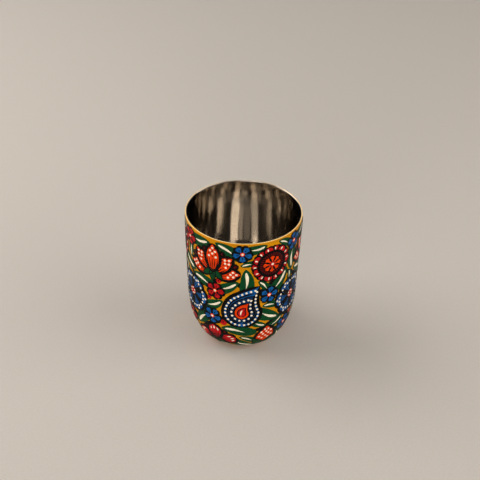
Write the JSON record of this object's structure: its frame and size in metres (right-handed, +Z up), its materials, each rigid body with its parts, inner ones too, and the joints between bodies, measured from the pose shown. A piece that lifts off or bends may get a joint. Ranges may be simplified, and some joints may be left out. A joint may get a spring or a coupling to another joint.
{
  "type": "stainless steel tumbler",
  "caption": "Single-wall stainless steel tumbler with a straight tapered wall, a deep rounded heel and a flat standing ring, painted outside with a floral pattern on mustard.",
  "frame": {"origin": "middle of the base, in the plane of the standing ring", "axes": "+Z up along the tumbler's axis towards the mouth; -Y is the front of the painted pattern"},
  "size_m": [0.0766, 0.076, 0.093],
  "materials": {
    "polished_steel": "mirror polished inside and on the lip",
    "mustard_paint": "satin brushed acrylic ground coat on steel",
    "orange_paint": "satin brushed acrylic film",
    "red_paint": "satin brushed acrylic film",
    "blue_paint": "satin brushed acrylic film",
    "green_paint": "satin brushed acrylic film, leaves",
    "cream_paint": "satin brushed acrylic film, dots and highlights",
    "black_paint": "satin brushed acrylic film, outlines and stems"
  },
  "bodies": {
    "root": {"blue_bloom_1": "blue_paint", "blue_bloom_2": "blue_paint", "blue_bloom_3": "blue_paint", "blue_paisley_1": "blue_paint", "blue_paisley_2": "blue_paint", "blue_paisley_3": "blue_paint", "ground_coat": "mustard_paint", "orange_bud_1": "orange_paint", "orange_bud_2": "orange_paint", "orange_bud_3": "orange_paint", "orange_lotus_1": "orange_paint", "orange_lotus_2": "orange_paint", "orange_lotus_3": "orange_paint", "red_fan_1": "red_paint", "red_fan_2": "red_paint", "red_fan_3": "red_paint", "red_marigold_1": "red_paint", "red_marigold_2": "red_paint", "red_marigold_3": "red_paint", "steel_cup": "polished_steel"}
  },
  "joints": []
}
